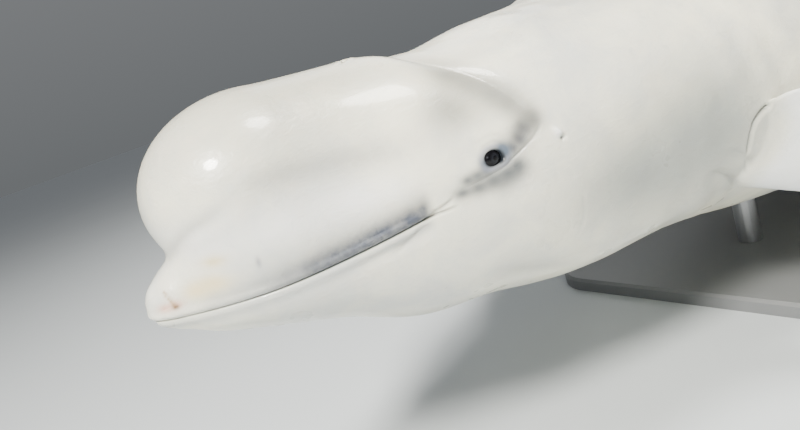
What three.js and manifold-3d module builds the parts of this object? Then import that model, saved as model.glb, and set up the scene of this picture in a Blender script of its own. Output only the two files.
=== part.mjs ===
// Beluga whale, life size, on a plain display stand.
// Millimetres, +Z up. The beak points along -X and the flukes along +X; the whale's left side faces -Y.
// The body is first shaped straight, with x measured from just behind the tip of the beak. It is cut into its
// parts there, and then the spine is bent: the head rises and turns a little, and the tail droops.

import * as THREE from 'three';
import { mergeVertices } from 'three/addons/utils/BufferGeometryUtils.js';
import Module from 'manifold-3d';

const wasm = await Module();
wasm.setup();

// Driving sizes

const bodyLength = 3700; // beak to the notch between the flukes; the beak's round end reaches 11 further
const gap = 0.3; // between parts that meet face to face
const sectionPower = 2.15; // superellipse exponent of the trunk's sections
const sides = 52; // round the trunk

// Trunk, seen straight: distance along it, half width, top, bottom, level of the widest point
const trunk = [
  [0, 0, -4, -4, -4],
  [8, 24, 23, -15, -1],
  [45, 55, 48, -47, -4],
  [110, 96, 104, -67, 0],
  [200, 131, 189, -92, 10],
  [300, 168, 218, -130, 30],
  [400, 200, 212, -138, 38],
  [520, 226, 232, -160, 34],
  [700, 272, 246, -172, 22],
  [950, 322, 294, -236, 10],
  [1300, 348, 336, -306, 5],
  [1700, 336, 328, -308, 5],
  [2200, 268, 280, -248, 12],
  [2700, 166, 202, -158, 20],
  [3150, 82, 134, -84, 24],
  [3420, 46, 84, -36, 24],
  [3600, 34, 52, -4, 24],
  [3690, 17, 34, 14, 24],
].map(([x, halfWidth, top, bottom, widest]) => ({ x, halfWidth, top, bottom, widest }));

const melonShape = { x: 158, z: 101, front: 143, back: 205, halfWidth: 120, halfHeight: 113, blend: 35 };
const beakShape = { x: 32, z: 0, length: 43, halfWidth: 32, halfHeight: 36, blend: 14 };

// Neck crease: over the top of the neck, down behind the eye, to the cheek
const creaseDepth = 8;
const creaseReach = 15;
const neckCrease = [
  [352, 0, 216], [360, 90, 198], [392, 135, 171], [413, 172, 136], [425, 195, 104], [420, 200, 82],
  [392, 196, 66], [368, 190, 53], [338, 181, 46],
];

// Places on the head: distance along the body and height
const eye = { x: 361, z: 68, radius: 19, sunk: 17, openHalfLength: 9.5, openHalfHeight: 6.5, lid: 2.8 };
const ear = { x: 448, z: 69, pit: 3.5, bumpX: 443, bumpZ: 79, bump: 5 };
const mouth = { frontLevel: -15, cornerX: 275, cornerZ: 24, rise: 1.8, lip: 4.5 };
const blowhole = { x: 300, y: -8, halfWidth: 25, sweep: 15, groove: 4.5, rim: 6 };

// Where the body is parted
const headEnd = 500;
const neckEnd = 680;
const chestEnd = 1350;
const abdomenEnd = 2400;

// Spine: angles in degrees and the stretch that bends
const headLift = 6.4;
const headTurn = 4.9;
const neckBend = [380, 760];
const tailDroop = 10;
const tailBend = [1500, 3600];
const straightAt = 1100; // this section keeps its place

const ridge = { from: 1640, to: 2240, height: 26, halfWidth: 30 };
// Its leading corner at the root; outward and trailing are directions on the right side
const flipper = { x: 768, y: 228, z: -116, span: 415, sunk: 60, thickness: 46, curl: 38, rake: 0.35 };
const flipperOutward = [0.78, 0.52, -0.34];
const flipperTrailing = [-0.1, 0.4, 0.9];
const fluke = { rootX: 3375, halfSpan: 440, sweep: 335, thickness: 44, level: 24 };

const stand = { x: 1640, length: 1400, width: 760, thickness: 30, corner: 90, under: 110, rodRadius: 24 };
const rodPlaces = { front: 1200, rear: 2080 };

// Colours

const skinWhite = () => new THREE.MeshStandardMaterial({ color: 0xe4dfd4, roughness: 0.32, metalness: 0 });
const eyeDark = () => new THREE.MeshStandardMaterial({ color: 0x1c1a1b, roughness: 0.08, metalness: 0 });
const standGrey = () => new THREE.MeshStandardMaterial({ color: 0x4a4d50, roughness: 0.5, metalness: 0.4 });

// Curves and fields

const clamp = (t, low, high) => Math.min(Math.max(t, low), high);
const mix = (a, b, t) => a + (b - a) * t;
const radians = (degrees) => (degrees * Math.PI) / 180;

function smoothStep(from, to, x) {
  const t = clamp((x - from) / (to - from), 0, 1);
  return t * t * (3 - 2 * t);
}

// A smooth curve through (xs[i], ys[i])
function curveThrough(xs, ys) {
  const steps = xs.slice(1).map((x, i) => x - xs[i]);
  const slopes = steps.map((h, i) => (ys[i + 1] - ys[i]) / h);
  const tangents = xs.map((_, i) => {
    if (i === 0) return slopes[0];
    if (i === xs.length - 1) return slopes[i - 1];
    return (slopes[i - 1] * steps[i] + slopes[i] * steps[i - 1]) / (steps[i] + steps[i - 1]);
  });
  return (at) => {
    const x = clamp(at, xs[0], xs[xs.length - 1]);
    let i = 0;
    while (i < steps.length - 1 && x > xs[i + 1]) i += 1;
    const t = (x - xs[i]) / steps[i];
    const [t2, t3] = [t * t, t * t * t];
    const ends = (2 * t3 - 3 * t2 + 1) * ys[i] + (3 * t2 - 2 * t3) * ys[i + 1];
    return ends + steps[i] * ((t3 - 2 * t2 + t) * tangents[i] + (t3 - t2) * tangents[i + 1]);
  };
}

// The trunk's measures run smoothly against the square root of the distance, which makes its tip round
const rootOf = (x) => Math.sqrt(Math.max(x, 0));
const measure = (name) => {
  const curve = curveThrough(trunk.map((s) => rootOf(s.x)), trunk.map((s) => s[name]));
  return (x) => curve(rootOf(x));
};
const halfWidthAt = measure('halfWidth');
const topAt = measure('top');
const bottomAt = measure('bottom');
const widestAt = measure('widest');

function smoothUnion(a, b, reach) {
  const h = clamp(0.5 + (0.5 * (b - a)) / reach, 0, 1);
  return mix(b, a, h) - reach * h * (1 - h);
}

function trunkField(x, y, z) {
  const widest = widestAt(x);
  const w = Math.max(halfWidthAt(x), 1e-3);
  const h = Math.max(z > widest ? topAt(x) - widest : widest - bottomAt(x), 1e-3);
  const u = (Math.abs(y) / w) ** sectionPower + (Math.abs(z - widest) / h) ** sectionPower;
  const f = (u ** (1 / sectionPower) - 1) * Math.min(w, h);
  return x < 0 ? Math.max(f, 0) - x : f;
}

function melonField(x, y, z) {
  const m = melonShape;
  const dx = (x - m.x) / (x > m.x ? m.back : m.front);
  const r = Math.hypot(dx, y / m.halfWidth, (z - m.z) / m.halfHeight);
  return (r - 1) * m.halfHeight;
}

function beakField(x, y, z) {
  const b = beakShape;
  return (Math.hypot((x - b.x) / b.length, y / b.halfWidth, (z - b.z) / b.halfHeight) - 1) * b.halfHeight;
}

const creaseCurve = new THREE.CatmullRomCurve3(neckCrease.map((p) => new THREE.Vector3(...p)));
const creasePoints = creaseCurve.getPoints(40);

function creaseField(x, y, z) {
  if (x < 300 || x > 470) return 0;
  const p = new THREE.Vector3(x, Math.abs(y), z);
  const nearest = creasePoints.reduce((least, q, i) => {
    const fade = Math.min(1, (creasePoints.length - 1 - i) / 14);
    return Math.max(least, fade * Math.exp(-p.distanceToSquared(q) / creaseReach ** 2));
  }, 0);
  return creaseDepth * nearest;
}

// Below zero inside the body
function bodyField(x, y, z) {
  const trunkAndMelon = smoothUnion(melonField(x, y, z), trunkField(x, y, z), melonShape.blend);
  return smoothUnion(beakField(x, y, z), trunkAndMelon, beakShape.blend) + creaseField(x, y, z);
}

// The point where a ray from inside the body leaves it, plus a margin
function rayOut(origin, direction, margin = 0) {
  let [inside, outside] = [0, 560];
  const point = new THREE.Vector3();
  for (let i = 0; i < 24; i += 1) {
    const middle = (inside + outside) / 2;
    point.copy(direction).multiplyScalar(middle).add(origin);
    if (bodyField(point.x, point.y, point.z) < 0) inside = middle;
    else outside = middle;
  }
  return point.copy(direction).multiplyScalar(inside + margin).add(origin);
}

// The skin at a given distance and height, on the side that faces -Y (side -1) or +Y (side 1)
const skinAt = (x, z, side, margin = 0) =>
  rayOut(new THREE.Vector3(x, 0, z), new THREE.Vector3(0, side, 0), margin);

// Bending the spine

const spineStep = 10;
const spine = (() => {
  const frames = [];
  for (let x = 0; x <= bodyLength + 300; x += spineStep) {
    const ahead = 1 - smoothStep(...neckBend, x);
    const pitch = -radians(headLift) * ahead - radians(tailDroop) * smoothStep(...tailBend, x);
    const yaw = -radians(headTurn) * ahead;
    const back = new THREE.Vector3(Math.cos(pitch) * Math.cos(yaw), Math.cos(pitch) * Math.sin(yaw), Math.sin(pitch));
    frames.push({ pitch, yaw, back });
  }
  const places = [new THREE.Vector3()];
  for (let i = 1; i < frames.length; i += 1) {
    const step = frames[i].back.clone().add(frames[i - 1].back).multiplyScalar(spineStep / 2);
    places.push(places[i - 1].clone().add(step));
  }
  const held = places[straightAt / spineStep].clone();
  places.forEach((p) => p.sub(held).add(new THREE.Vector3(straightAt, 0, 0)));
  return frames.map((f, i) => ({ ...f, place: places[i] }));
})();

function bend(point) {
  const along = clamp(point.x, 0, (spine.length - 1) * spineStep - 1e-6) / spineStep;
  const i = Math.floor(along);
  const [a, b] = [spine[i], spine[i + 1]];
  const t = along - i;
  const yaw = mix(a.yaw, b.yaw, t);
  const back = a.back.clone().lerp(b.back, t).normalize();
  const side = new THREE.Vector3(-Math.sin(yaw), Math.cos(yaw), 0);
  const up = back.clone().cross(side);
  return a.place.clone().lerp(b.place, t)
    .addScaledVector(back, Math.min(point.x, 0))
    .addScaledVector(side, point.y)
    .addScaledVector(up, point.z);
}

// Meshes and solids

// A closed surface through rows of points, each row a closed loop; its two ends are closed by a fan
function loftGeometry(rows) {
  const count = rows[0].length;
  const positions = [];
  rows.forEach((row) => row.forEach((p) => positions.push(p.x, p.y, p.z)));
  const indices = [];
  for (let i = 0; i < rows.length - 1; i += 1) {
    for (let j = 0; j < count; j += 1) {
      const [a, b] = [i * count + j, i * count + ((j + 1) % count)];
      const [c, d] = [a + count, b + count];
      indices.push(a, c, b, b, c, d);
    }
  }
  const closeEnd = (row, first, flip) => {
    const centre = row.reduce((sum, p) => sum.add(p), new THREE.Vector3()).divideScalar(count);
    const hub = positions.length / 3;
    positions.push(centre.x, centre.y, centre.z);
    for (let j = 0; j < count; j += 1) {
      const [a, b] = [first + j, first + ((j + 1) % count)];
      indices.push(hub, flip ? b : a, flip ? a : b);
    }
  };
  closeEnd(rows[0], 0, false);
  closeEnd(rows[rows.length - 1], (rows.length - 1) * count, true);
  const geometry = new THREE.BufferGeometry();
  geometry.setAttribute('position', new THREE.Float32BufferAttribute(positions, 3));
  geometry.setIndex(indices);
  return geometry;
}

function solidOf(geometry) {
  const plain = geometry.clone();
  plain.deleteAttribute('normal');
  plain.deleteAttribute('uv');
  const merged = mergeVertices(plain, 1e-4);
  const solid = new wasm.Manifold(new wasm.Mesh({
    numProp: 3,
    vertProperties: new Float32Array(merged.attributes.position.array),
    triVerts: new Uint32Array(merged.index.array),
  }));
  if (solid.volume() > 0) return solid;
  merged.setIndex(Array.from(merged.index.array).reverse());
  return solidOf(merged);
}

function geometryOf(solid) {
  const largest = solid.decompose().sort((a, b) => b.volume() - a.volume())[0];
  const mesh = largest.getMesh();
  const geometry = new THREE.BufferGeometry();
  geometry.setAttribute('position', new THREE.Float32BufferAttribute(mesh.vertProperties, 3));
  geometry.setIndex(Array.from(mesh.triVerts));
  return geometry;
}

function bentGeometry(geometry) {
  const { position } = geometry.attributes;
  const point = new THREE.Vector3();
  for (let i = 0; i < position.count; i += 1) {
    const p = bend(point.fromBufferAttribute(position, i));
    position.setXYZ(i, p.x, p.y, p.z);
  }
  return geometry;
}

// A round tube through points, thinner towards its ends where taper says so
function tubeSolid(points, radius, taper = () => 1, around = 8) {
  const rows = points.map((p, i) => {
    const ahead = points[Math.min(i + 1, points.length - 1)];
    const along = ahead.clone().sub(points[Math.max(i - 1, 0)]).normalize();
    const across = new THREE.Vector3(0, 0, 1).cross(along).normalize();
    const upward = along.clone().cross(across);
    const r = radius * taper(i / (points.length - 1));
    return Array.from({ length: around }, (_, j) => {
      const turn = (2 * Math.PI * j) / around;
      return p.clone()
        .addScaledVector(across, r * Math.cos(turn))
        .addScaledVector(upward, r * Math.sin(turn));
    });
  });
  return solidOf(loftGeometry(rows));
}

function ballSolid(centre, radius, fine = 12) {
  return solidOf(new THREE.SphereGeometry(radius, fine, fine * 0.75).translate(centre.x, centre.y, centre.z));
}

// A wall across the body: an outline of [x, z] points, drawn out along Y
function prismSolid(outline) {
  const depth = 1600;
  const shape = new THREE.Shape(outline.map(([x, z]) => new THREE.Vector2(x, z)));
  const geometry = new THREE.ExtrudeGeometry(shape, { depth, bevelEnabled: false });
  return solidOf(geometry.translate(0, 0, -depth / 2).rotateX(Math.PI / 2));
}

const slabSolid = (from, to) => prismSolid([[from, -900], [to, -900], [to, 900], [from, 900]]);

// The trunk with the melon and the beak

function trunkRows(margin = 0) {
  const centre = new THREE.Vector3(230, 0, 60);
  const tip = new THREE.Vector3(beakShape.x - beakShape.length, 0, beakShape.z);
  const forward = tip.clone().sub(centre).normalize();
  const around = Array.from({ length: sides }, (_, j) => {
    const turn = (2 * Math.PI * j) / sides;
    return new THREE.Vector3(0, -Math.cos(turn), Math.sin(turn));
  });
  const rows = [];
  const fanRows = 18;
  for (let i = 1; i < fanRows; i += 1) {
    const angle = (Math.PI / 2) * (i / fanRows) ** 1.5;
    rows.push(around.map((outward) => {
      const ray = forward.clone().multiplyScalar(Math.cos(angle)).addScaledVector(outward, Math.sin(angle));
      return rayOut(centre, ray.normalize(), margin);
    }));
  }
  const axis = curveThrough([230, 520, 1300, 2700, bodyLength], [60, 35, 5, 20, 24]);
  const lastX = trunk[trunk.length - 1].x;
  const neckRows = 18;
  const backRows = 32;
  for (let i = 0; i <= neckRows + backRows; i += 1) {
    const t = (i - neckRows) / backRows;
    const x = i < neckRows ? mix(centre.x, neckEnd + 40, i / neckRows) : mix(neckEnd + 40, lastX, t ** 1.05);
    const origin = new THREE.Vector3(x, 0, axis(x));
    rows.push(around.map((outward) => rayOut(origin, outward, margin)));
  }
  return rows;
}

// The mouth line climbs from the tip of the beak to its corner
const mouthLevel = (x) =>
  mix(mouth.frontLevel, mouth.cornerZ, (clamp(x, 0, mouth.cornerX) / mouth.cornerX) ** mouth.rise);

// The lips run from corner to corner round the beak, above (1) or below (-1) the mouth line
function lipSolid(above) {
  const points = [];
  const offset = above * mouth.lip * 1.05;
  const turnX = 60;
  const sideSteps = 12;
  const frontSteps = 10;
  for (let i = 0; i < sideSteps; i += 1) {
    const x = mix(mouth.cornerX - 2, turnX, i / sideSteps);
    points.push(skinAt(x, mouthLevel(x) + offset, -1, -1.2));
  }
  for (let i = 0; i <= frontSteps; i += 1) {
    const turn = mix(-Math.PI / 2, Math.PI / 2, i / frontSteps);
    const ray = new THREE.Vector3(-Math.cos(turn), Math.sin(turn), 0);
    const level = mouthLevel(turnX * (1 - Math.cos(turn))) + offset;
    points.push(rayOut(new THREE.Vector3(turnX, 0, level), ray, -1.2));
  }
  for (let i = sideSteps - 1; i >= 0; i -= 1) {
    const x = mix(mouth.cornerX - 2, turnX, i / sideSteps);
    points.push(skinAt(x, mouthLevel(x) + offset, 1, -1.2));
  }
  const taper = (t) => mix(0.35, 1, smoothStep(0, 0.3, Math.min(t, 1 - t)));
  return tubeSolid(points, mouth.lip, taper, 6);
}

// The rim of both eyelids: a ring on the skin round the opening
function lidSolid(side) {
  const points = [];
  const steps = 20;
  for (let i = 0; i <= steps; i += 1) {
    const turn = (2 * Math.PI * i) / steps;
    const x = eye.x + (eye.openHalfLength + eye.lid * 0.8) * Math.cos(turn);
    const z = eye.z + (eye.openHalfHeight + eye.lid * 0.8) * Math.sin(turn);
    points.push(skinAt(x, z, side, 0.8));
  }
  points[steps] = points[0];
  const across = points[0].clone().sub(eyeCentre(side)).setZ(0).normalize();
  const rows = points.slice(0, steps).map((p, i) => {
    const along = points[(i + 1) % steps].clone().sub(points[(i + steps - 1) % steps]).normalize();
    const out = new THREE.Vector3(0, side, 0).addScaledVector(across, 0.2).normalize();
    const wide = along.clone().cross(out).normalize();
    return Array.from({ length: 8 }, (_, j) => {
      const turn = (2 * Math.PI * j) / 8;
      return p.clone()
        .addScaledVector(wide, eye.lid * Math.cos(turn))
        .addScaledVector(out, eye.lid * Math.sin(turn));
    });
  });
  return solidOf(ringGeometry(rows));
}

// A closed ring through rows of points
function ringGeometry(rows) {
  const count = rows[0].length;
  const positions = rows.flatMap((row) => row.flatMap((p) => [p.x, p.y, p.z]));
  const indices = [];
  for (let i = 0; i < rows.length; i += 1) {
    for (let j = 0; j < count; j += 1) {
      const next = ((i + 1) % rows.length) * count;
      const [a, b] = [i * count + j, i * count + ((j + 1) % count)];
      const [c, d] = [next + j, next + ((j + 1) % count)];
      indices.push(a, c, b, b, c, d);
    }
  }
  const geometry = new THREE.BufferGeometry();
  geometry.setAttribute('position', new THREE.Float32BufferAttribute(positions, 3));
  geometry.setIndex(indices);
  return geometry;
}

function eyeCentre(side) {
  return skinAt(eye.x, eye.z, side, -eye.sunk);
}

// The blowhole: a crescent across the top of the head, its ends swept forward
function blowholeCurve(backward, height) {
  const steps = 10;
  return Array.from({ length: steps + 1 }, (_, i) => {
    const t = mix(-1, 1, i / steps);
    const origin = new THREE.Vector3(
      blowhole.x + backward - blowhole.sweep * t * t,
      blowhole.y + blowhole.halfWidth * t,
      60,
    );
    return rayOut(origin, new THREE.Vector3(0, 0, 1), height);
  });
}

const narrowEnds = (t) => Math.sqrt(Math.max(1 - (2 * t - 1) ** 2, 0.08));

function wholeBody() {
  let body = solidOf(loftGeometry(trunkRows()));
  [1, -1].forEach((above) => {
    body = body.add(lipSolid(above));
  });
  [blowhole.rim, -blowhole.rim].forEach((backward) => {
    body = body.add(tubeSolid(blowholeCurve(backward, -3), blowhole.rim, narrowEnds));
  });
  body = body.subtract(tubeSolid(blowholeCurve(0, 0), blowhole.groove, narrowEnds));
  [-1, 1].forEach((side) => {
    body = body.add(lidSolid(side)).subtract(ballSolid(eyeCentre(side), eye.radius + gap, 16));
    body = body.add(ballSolid(skinAt(ear.bumpX, ear.bumpZ, side, -3), ear.bump, 8));
    body = body.subtract(ballSolid(skinAt(ear.x, ear.z, side), ear.pit, 8));
  });
  return body;
}

// Outlines that part the head, grown by a margin

function jawOutline(margin) {
  const steps = 14;
  const line = Array.from({ length: steps + 1 }, (_, i) => {
    const x = (mouth.cornerX * i) / steps;
    return [x, mouthLevel(x) + margin];
  });
  const cornerBack = 8;
  return [
    [-60, mouth.frontLevel + margin],
    ...line,
    [mouth.cornerX + cornerBack + margin, mouth.cornerZ - 4],
    [mouth.cornerX + 3 * cornerBack + margin, -40],
    [mouth.cornerX + 4 * cornerBack + margin, -260],
    [-60, -260],
  ];
}

function melonOutline(margin) {
  const lower = new THREE.CatmullRomCurve3([
    new THREE.Vector3(-60, 44),
    new THREE.Vector3(27, 57),
    new THREE.Vector3(98, 108),
    new THREE.Vector3(190, 122),
    new THREE.Vector3(262, 160),
    new THREE.Vector3(286, 300),
  ]);
  return [...lower.getPoints(24).map((p) => [p.x + margin * 0.5, p.y - margin]), [-60, 300]];
}

// Fins: lofts of thin round-edged sections

// Half thickness across a fin from its leading edge (0) to its trailing edge (1), as a share of the most
function finThickness(u) {
  const fullest = 0.32;
  if (u < fullest) return Math.sqrt(Math.max(1 - (1 - u / fullest) ** 2, 0));
  const t = (u - fullest) / (1 - fullest);
  return mix(1, 0.1, t ** 1.2);
}

// One closed section: out along one face from the leading edge, back along the other
function finSection(place, half, chordAt) {
  const steps = 7;
  const loop = [];
  for (let i = 0; i <= steps; i += 1) loop.push({ u: (1 - Math.cos((Math.PI * i) / steps)) / 2, face: 1 });
  for (let i = steps - 1; i >= 1; i -= 1) loop.push({ u: (1 - Math.cos((Math.PI * i) / steps)) / 2, face: -1 });
  return loop.map(({ u, face }) => {
    const share = u === 1 ? 0 : finThickness(u);
    return place(chordAt(u), face * half * share);
  });
}

function flipperSolid(side) {
  const toSide = ([x, y, z]) => new THREE.Vector3(x, side * y, z);
  const root = toSide([flipper.x, flipper.y, flipper.z]);
  const outward = toSide(flipperOutward).normalize();
  const trailing = toSide(flipperTrailing);
  trailing.addScaledVector(outward, -trailing.dot(outward)).normalize();
  const away = outward.clone().cross(trailing).multiplyScalar(-side).normalize();
  const leadAt = curveThrough([0, 0.3, 0.6, 0.85, 1], [0, -10, 0, 45, 140]);
  const trailAt = curveThrough([0, 0.1, 0.22, 0.5, 0.75, 0.92, 1], [120, 150, 168, 214, 216, 188, 146]);
  const rows = [];
  const steps = 15;
  for (let i = -1; i <= steps; i += 1) {
    const along = i < 0 ? -flipper.sunk / flipper.span : 1 - (1 - i / steps) ** 1.6;
    const out = Math.max(along, 0);
    const thick = (flipper.thickness / 2) * mix(1, 0.2, out ** 0.8) * (i === steps ? 0.3 : 1);
    const place = (chord, rise) => root.clone()
      .addScaledVector(outward, flipper.span * along - flipper.rake * chord * (1 - out))
      .addScaledVector(trailing, chord)
      .addScaledVector(away, rise + flipper.curl * out ** 2.5);
    rows.push(finSection(place, thick, (c) => mix(leadAt(along), trailAt(along), c)));
  }
  return solidOf(loftGeometry(rows));
}

function flukeSolid(side) {
  const rows = [];
  const steps = 14;
  for (let i = 0; i <= steps; i += 1) {
    const t = 1 - (1 - i / steps) ** 1.7;
    const y = side * mix(5, fluke.halfSpan, t);
    const lead = fluke.rootX + fluke.sweep * t ** 1.25;
    const bulge = 78 * Math.sin(Math.PI * t ** 0.62);
    const trail = Math.max(mix(bodyLength - 14, lead, t ** 3) + bulge, lead + 8);
    const thick = (fluke.thickness / 2) * mix(1, 0.16, t ** 0.7);
    const droop = 10 * t * t;
    const place = (x, rise) => new THREE.Vector3(x, y, fluke.level - droop + rise);
    rows.push(finSection(place, thick, (c) => mix(lead, trail, c)));
  }
  return solidOf(loftGeometry(rows));
}

function ridgeSolid() {
  const rows = [];
  const steps = 18;
  const profile = [[-1, -0.9], [-0.75, 0.1], [-0.4, 0.68], [0, 1], [0.4, 0.68], [0.75, 0.1], [1, -0.9]];
  for (let i = 0; i <= steps; i += 1) {
    const x = mix(ridge.from, ridge.to, i / steps);
    const height = 2 + ridge.height * Math.sin((Math.PI * i) / steps) ** 0.9;
    rows.push(profile.map(([across, up]) => new THREE.Vector3(
      x,
      across * ridge.halfWidth,
      topAt(x) + (up > 0 ? up * height : up * 18),
    )));
  }
  return solidOf(loftGeometry(rows));
}

// Stand

function baseGeometry(bottom) {
  const [halfLength, halfWidth, r] = [stand.length / 2, stand.width / 2, stand.corner];
  const shape = new THREE.Shape();
  [[1, 1, 0], [-1, 1, 1], [-1, -1, 2], [1, -1, 3]].forEach(([sx, sy, quarter]) => {
    const start = (quarter * Math.PI) / 2;
    shape.absarc(sx * (halfLength - r), sy * (halfWidth - r), r, start, start + Math.PI / 2, false);
  });
  const bevel = 6;
  return new THREE.ExtrudeGeometry(shape, {
    depth: stand.thickness - bevel,
    bevelThickness: bevel,
    bevelSize: bevel,
    bevelOffset: -bevel,
    bevelSegments: 1,
    curveSegments: 6,
  }).translate(stand.x, 0, bottom);
}

const isNear = (a, b) => Math.abs(a - b) < 1e-3;

// The bevel of an extrusion runs on both faces; the lower one is pressed flat
function flatUnderside(geometry, bottom) {
  const { position } = geometry.attributes;
  for (let i = 0; i < position.count; i += 1) {
    if (position.getZ(i) < bottom || isNear(position.getZ(i), bottom)) position.setZ(i, bottom);
  }
  return geometry;
}

const wellUnder = 400;
const lowestSkin = Math.min(...trunk.map((s) => s.bottom));
const baseTop = lowestSkin - stand.under;
const baseBottom = baseTop - stand.thickness;

function rodSolid(x) {
  const height = wellUnder;
  const rod = new THREE.CylinderGeometry(stand.rodRadius, stand.rodRadius, height, 24).rotateX(Math.PI / 2);
  return solidOf(rod.translate(x, 0, baseTop + gap + height / 2));
}

// Putting the parts together

const body = wholeBody();
const clearance = solidOf(loftGeometry(trunkRows(gap + 0.15)));
const bentClearance = solidOf(bentGeometry(geometryOf(clearance)));
const half = gap / 2;

const partSolids = {
  head: body.intersect(slabSolid(-100, headEnd - half))
    .subtract(prismSolid(jawOutline(half)))
    .subtract(prismSolid(melonOutline(half))),
  melon: body.intersect(prismSolid(melonOutline(-half))),
  lower_jaw: body.intersect(prismSolid(jawOutline(-half))),
  neck: body.intersect(slabSolid(headEnd + half, neckEnd - half)),
  chest: body.intersect(slabSolid(neckEnd + half, chestEnd - half)),
  abdomen: body.intersect(slabSolid(chestEnd + half, abdomenEnd - half)),
  tail_stock: body.intersect(slabSolid(abdomenEnd + half, bodyLength + 60)),
  dorsal_ridge: ridgeSolid().subtract(clearance),
  flipper_left: flipperSolid(-1).subtract(clearance),
  flipper_right: flipperSolid(1).subtract(clearance),
  fluke_left: flukeSolid(-1).subtract(clearance),
  fluke_right: flukeSolid(1).subtract(clearance),
};

const whale = new THREE.Group();

function addNode(name, geometry, material) {
  const mesh = new THREE.Mesh(geometry, material);
  mesh.name = name;
  whale.add(mesh);
}

Object.entries(partSolids).forEach(([name, solid]) => {
  addNode(name, bentGeometry(geometryOf(solid)), skinWhite());
});

[['eye_left', -1], ['eye_right', 1]].forEach(([name, side]) => {
  addNode(name, bentGeometry(geometryOf(ballSolid(eyeCentre(side), eye.radius, 16))), eyeDark());
});

addNode('stand_base', flatUnderside(baseGeometry(baseBottom), baseBottom), standGrey());
Object.entries(rodPlaces).forEach(([place, x]) => {
  addNode(`stand_rod_${place}`, geometryOf(rodSolid(x).subtract(bentClearance)), standGrey());
});

// The origin is the middle of the whole model's box, at floor level
whale.updateMatrixWorld(true);
const box = new THREE.Box3().setFromObject(whale, true);
const middle = box.getCenter(new THREE.Vector3());
whale.position.set(-middle.x, -middle.y, -box.min.z);

export default whale;
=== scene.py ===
import math

import bpy
import numpy as np
from mathutils import Matrix, Vector, kdtree


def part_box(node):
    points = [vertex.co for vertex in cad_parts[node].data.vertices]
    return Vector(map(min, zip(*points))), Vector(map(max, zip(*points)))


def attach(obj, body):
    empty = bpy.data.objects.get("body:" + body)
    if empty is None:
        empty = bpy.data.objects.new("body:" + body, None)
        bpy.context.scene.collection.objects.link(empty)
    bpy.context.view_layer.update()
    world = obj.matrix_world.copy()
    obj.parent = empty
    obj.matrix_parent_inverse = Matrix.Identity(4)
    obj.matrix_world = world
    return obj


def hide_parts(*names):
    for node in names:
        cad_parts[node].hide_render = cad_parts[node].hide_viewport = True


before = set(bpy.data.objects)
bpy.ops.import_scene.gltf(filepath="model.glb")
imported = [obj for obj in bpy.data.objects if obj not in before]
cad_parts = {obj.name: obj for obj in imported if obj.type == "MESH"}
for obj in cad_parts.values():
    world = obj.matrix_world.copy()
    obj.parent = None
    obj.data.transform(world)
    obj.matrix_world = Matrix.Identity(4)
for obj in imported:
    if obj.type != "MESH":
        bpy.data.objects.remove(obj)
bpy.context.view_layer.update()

# The looks of a life-size beluga whale on its display stand.
# The body's form is worked out in millimetres, straight, with x from the tip of the beak, as the solids are.
# It is then bent along the spine and moved into the frame, in metres.

METRE = 0.001  # one millimetre

# Sizes that the solids share

BODY_LENGTH = 3700.0
SECTION_POWER = 2.15
# Distance from the tip of the beak, half width, top, bottom, level of the widest point
TRUNK = np.array([
    [0, 0, -4, -4, -4],
    [8, 24, 23, -15, -1],
    [45, 55, 48, -47, -4],
    [110, 96, 104, -67, 0],
    [200, 131, 189, -92, 10],
    [300, 168, 218, -130, 30],
    [400, 200, 212, -138, 38],
    [520, 226, 232, -160, 34],
    [700, 272, 246, -172, 22],
    [950, 322, 294, -236, 10],
    [1300, 348, 336, -306, 5],
    [1700, 336, 328, -308, 5],
    [2200, 268, 280, -248, 12],
    [2700, 166, 202, -158, 20],
    [3150, 82, 134, -84, 24],
    [3420, 46, 84, -36, 24],
    [3600, 34, 52, -4, 24],
    [3690, 17, 34, 14, 24],
], float)
MELON = {"x": 158, "z": 101, "front": 143, "back": 205, "half_width": 120, "half_height": 113, "blend": 35}
BEAK = {"x": 32, "z": 0, "length": 43, "half_width": 32, "half_height": 36, "blend": 14}
EYE = {
    "x": 361, "z": 68, "radius": 19, "sunk": 17, "half_length": 10.4, "half_height": 7.2, "upper_lid": 1.5,
    "tilt": math.radians(6), "opening": 13,
}
EAR = {"x": 448, "z": 69, "pit": 5, "pit_radius": 2.8, "bump_x": 443.5, "bump_z": 77, "bump": 4.2}
MOUTH = {"front": -15, "corner_x": 275, "corner_z": 24, "rise": 1.8}
BLOWHOLE = {"x": 300, "y": -8, "half_width": 25, "sweep": 15, "depth": 9}
RIDGE = {"from": 1640, "to": 2240, "height": 24, "half_width": 20}
FLIPPER = {"x": 768, "y": 228, "z": -116, "span": 415, "sunk": 60, "thickness": 46, "curl": 38, "rake": 0.35}
FLIPPER_OUTWARD = (0.78, 0.52, -0.34)
FLIPPER_TRAILING = (-0.1, 0.4, 0.9)
# The flipper's edges: shares of its span, and how far the edge lies along the chord there
FLIPPER_LEAD = [0, 0.3, 0.6, 0.85, 1], [0, -10, 0, 45, 140]
FLIPPER_TRAIL = [0, 0.1, 0.22, 0.5, 0.75, 0.92, 1], [120, 150, 168, 214, 216, 188, 146]
FLUKE = {
    "root_x": 3375, "root_y": 5, "half_span": 440, "sweep": 335, "notch": 14, "bulge": 76.3,
    "thickness": 44, "level": 24, "droop": 10,
}
HEAD_LIFT, HEAD_TURN = math.radians(6.4), math.radians(4.9)
NECK_BEND = (380, 760)
TAIL_DROOP = math.radians(10)
TAIL_BEND = (1500, 3600)
STRAIGHT_AT = 1100
STAND_X, STAND_UNDER = 1640, 110

# Stretches of the body, for what happens only there
SIDES = (-1, "left"), (1, "right")
HEAD_END = 480
FLIPPER_STRETCH = 640, 1250
FLIPPER_END = 1400
FLUKE_STRETCH = 3250, 3900

# Camera, fitted to the photograph's view of the head

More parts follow.
